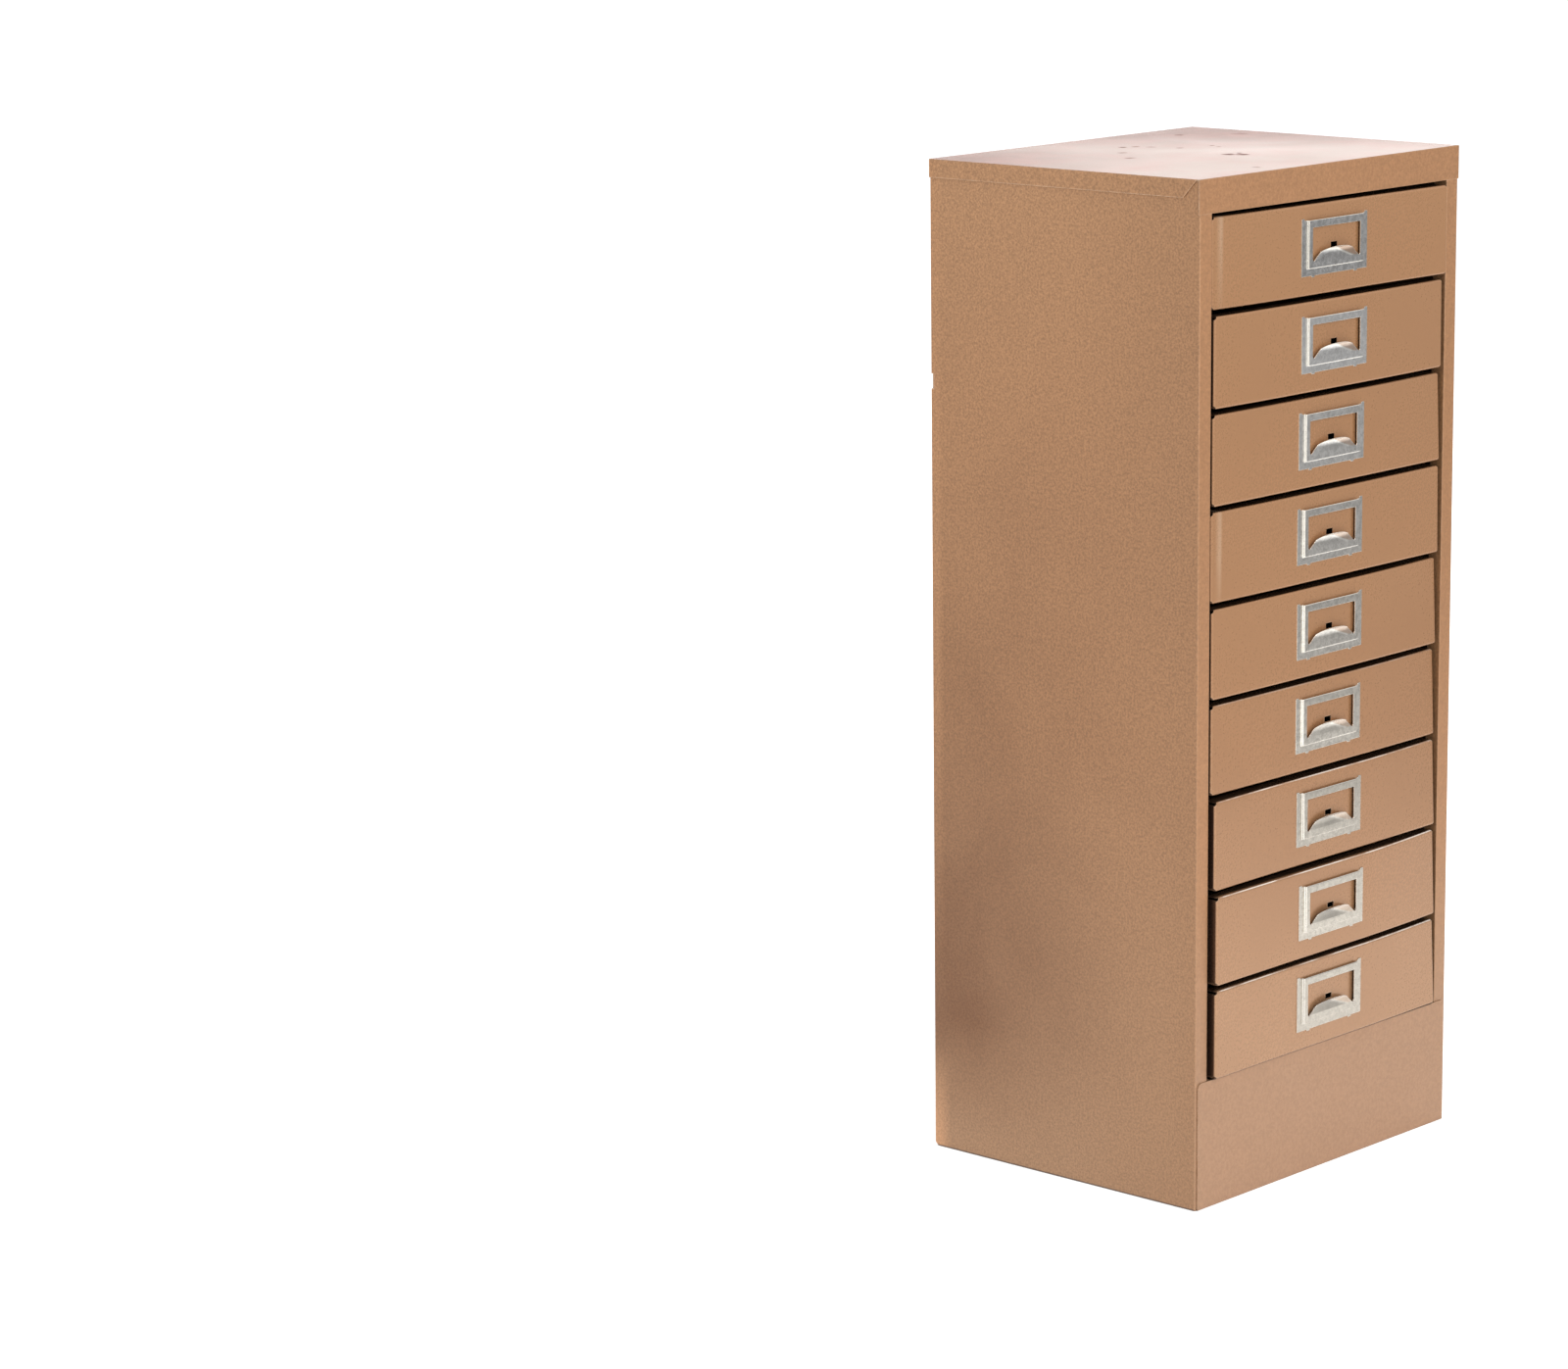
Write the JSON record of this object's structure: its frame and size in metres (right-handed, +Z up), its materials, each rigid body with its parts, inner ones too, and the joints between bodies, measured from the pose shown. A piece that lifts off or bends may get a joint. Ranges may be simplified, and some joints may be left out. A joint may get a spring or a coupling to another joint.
{
  "type": "card catalog cabinet",
  "caption": "Upright folded-steel cabinet with a stack of inset tray drawers for index cards, each pulled out by a stamped label holder with a finger lip.",
  "frame": {"origin": "on the floor, under the middle of the whole object's box at rest", "axes": "+Z up, the drawer fronts face -Y, +X to the right of someone facing the fronts"},
  "size_m": [0.3884, 0.3282, 0.94],
  "materials": {
    "case_paint": "fine hammertone enamel, tan bronze, satin",
    "drawer_paint": "smooth tan bronze enamel, satin",
    "tray_paint": "thin tan bronze enamel, satin",
    "pull_plate": "dull worn nickel plate",
    "runner_steel": "plain mill steel, dull",
    "screw_steel": "zinc plate, dull"
  },
  "bodies": {
    "cabinet": {"left_side_panel": "case_paint", "right_side_panel": "case_paint", "top_pan": "case_paint", "back_panel": "case_paint", "kick_plate": "case_paint", "bottom_pan": "case_paint", "left_stop_channel": "runner_steel", "left_runner_1": "runner_steel", "left_runner_2": "runner_steel", "left_runner_3": "runner_steel", "left_runner_4": "runner_steel", "left_runner_5": "runner_steel", "left_runner_6": "runner_steel", "left_runner_7": "runner_steel", "left_runner_8": "runner_steel", "left_runner_9": "runner_steel", "right_stop_channel": "runner_steel", "right_runner_1": "runner_steel", "right_runner_2": "runner_steel", "right_runner_3": "runner_steel", "right_runner_4": "runner_steel", "right_runner_5": "runner_steel", "right_runner_6": "runner_steel", "right_runner_7": "runner_steel", "right_runner_8": "runner_steel", "right_runner_9": "runner_steel", "back_screws": "screw_steel"},
    "drawer_1": {"drawer_1_front": "drawer_paint", "drawer_1_tray": "tray_paint", "drawer_1_pull": "pull_plate"},
    "drawer_2": {"drawer_2_front": "drawer_paint", "drawer_2_tray": "tray_paint", "drawer_2_pull": "pull_plate"},
    "drawer_3": {"drawer_3_front": "drawer_paint", "drawer_3_tray": "tray_paint", "drawer_3_pull": "pull_plate"},
    "drawer_4": {"drawer_4_front": "drawer_paint", "drawer_4_tray": "tray_paint", "drawer_4_pull": "pull_plate"},
    "drawer_5": {"drawer_5_front": "drawer_paint", "drawer_5_tray": "tray_paint", "drawer_5_pull": "pull_plate"},
    "drawer_6": {"drawer_6_front": "drawer_paint", "drawer_6_tray": "tray_paint", "drawer_6_pull": "pull_plate"},
    "drawer_7": {"drawer_7_front": "drawer_paint", "drawer_7_tray": "tray_paint", "drawer_7_pull": "pull_plate"},
    "drawer_8": {"drawer_8_front": "drawer_paint", "drawer_8_tray": "tray_paint", "drawer_8_pull": "pull_plate"},
    "drawer_9": {"drawer_9_front": "drawer_paint", "drawer_9_tray": "tray_paint", "drawer_9_pull": "pull_plate"}
  },
  "joints": [
    {"name": "drawer_1_slide", "type": "slide", "parent": "cabinet", "child": "drawer_1", "axis": [0, -1, 0], "range_m": [-0.0015, 0.2085]},
    {"name": "drawer_2_slide", "type": "slide", "parent": "cabinet", "child": "drawer_2", "axis": [0, -1, 0], "range_m": [-0.0027, 0.2073]},
    {"name": "drawer_3_slide", "type": "slide", "parent": "cabinet", "child": "drawer_3", "axis": [0, -1, 0], "range_m": [-0.0007, 0.2093]},
    {"name": "drawer_4_slide", "type": "slide", "parent": "cabinet", "child": "drawer_4", "axis": [0, -1, 0], "range_m": [0, 0.21]},
    {"name": "drawer_5_slide", "type": "slide", "parent": "cabinet", "child": "drawer_5", "axis": [0, -1, 0], "range_m": [-0.0007, 0.2093]},
    {"name": "drawer_6_slide", "type": "slide", "parent": "cabinet", "child": "drawer_6", "axis": [0, -1, 0], "range_m": [-0.0003, 0.2097]},
    {"name": "drawer_7_slide", "type": "slide", "parent": "cabinet", "child": "drawer_7", "axis": [0, -1, 0], "range_m": [-0.0023, 0.2077]},
    {"name": "drawer_8_slide", "type": "slide", "parent": "cabinet", "child": "drawer_8", "axis": [0, -1, 0], "range_m": [-0.0062, 0.2038]},
    {"name": "drawer_9_slide", "type": "slide", "parent": "cabinet", "child": "drawer_9", "axis": [0, -1, 0], "range_m": [-0.005, 0.205]}
  ]
}
